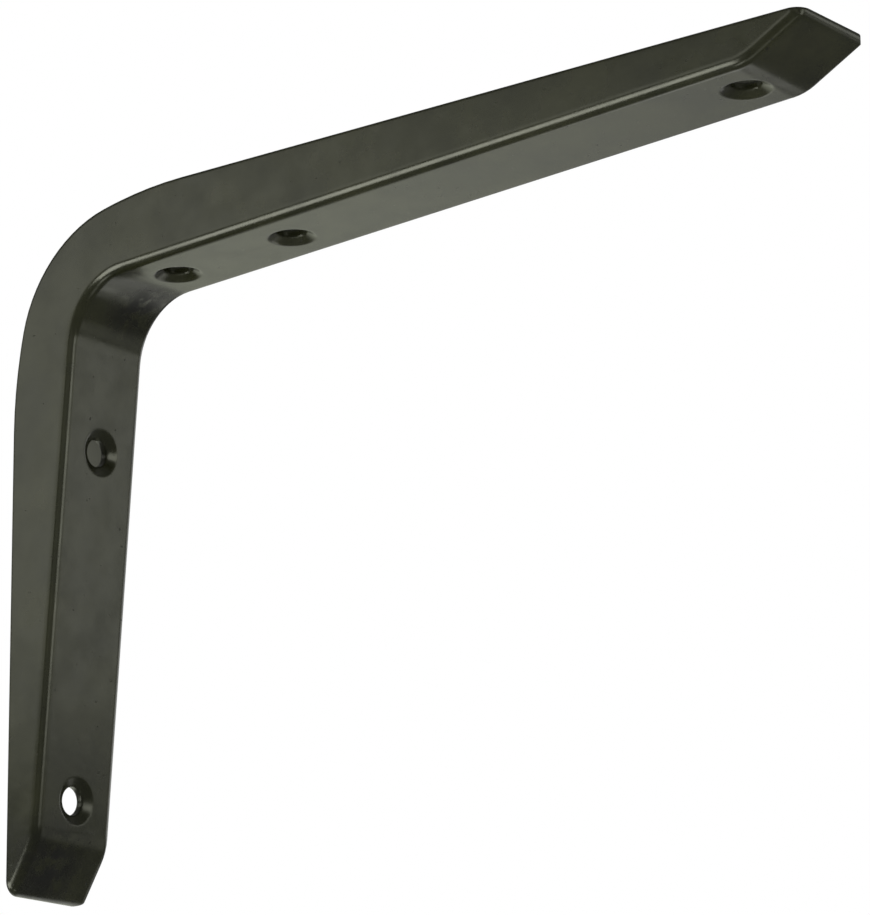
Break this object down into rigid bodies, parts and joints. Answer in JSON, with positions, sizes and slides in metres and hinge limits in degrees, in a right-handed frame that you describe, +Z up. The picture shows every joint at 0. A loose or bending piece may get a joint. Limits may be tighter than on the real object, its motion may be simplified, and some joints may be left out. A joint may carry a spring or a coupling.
{
  "type": "cantilever shelf bracket",
  "caption": "L-shaped shelf bracket pressed from sheet steel as an open channel, with tapering arms, sloping closed ends and countersunk screw holes, painted dark grey.",
  "frame": {"origin": "on the bracket's plane of symmetry, where the wall plane and the plane of the shelf's underside meet", "axes": "+X out from the wall along the shelf arm, +Z up towards the shelf, and the bracket is symmetric about the plane Y = 0"},
  "size_m": [0.2, 0.0226, 0.1444],
  "materials": {
    "paint": "satin"
  },
  "bodies": {
    "root": {"bracket": "paint"}
  },
  "joints": []
}
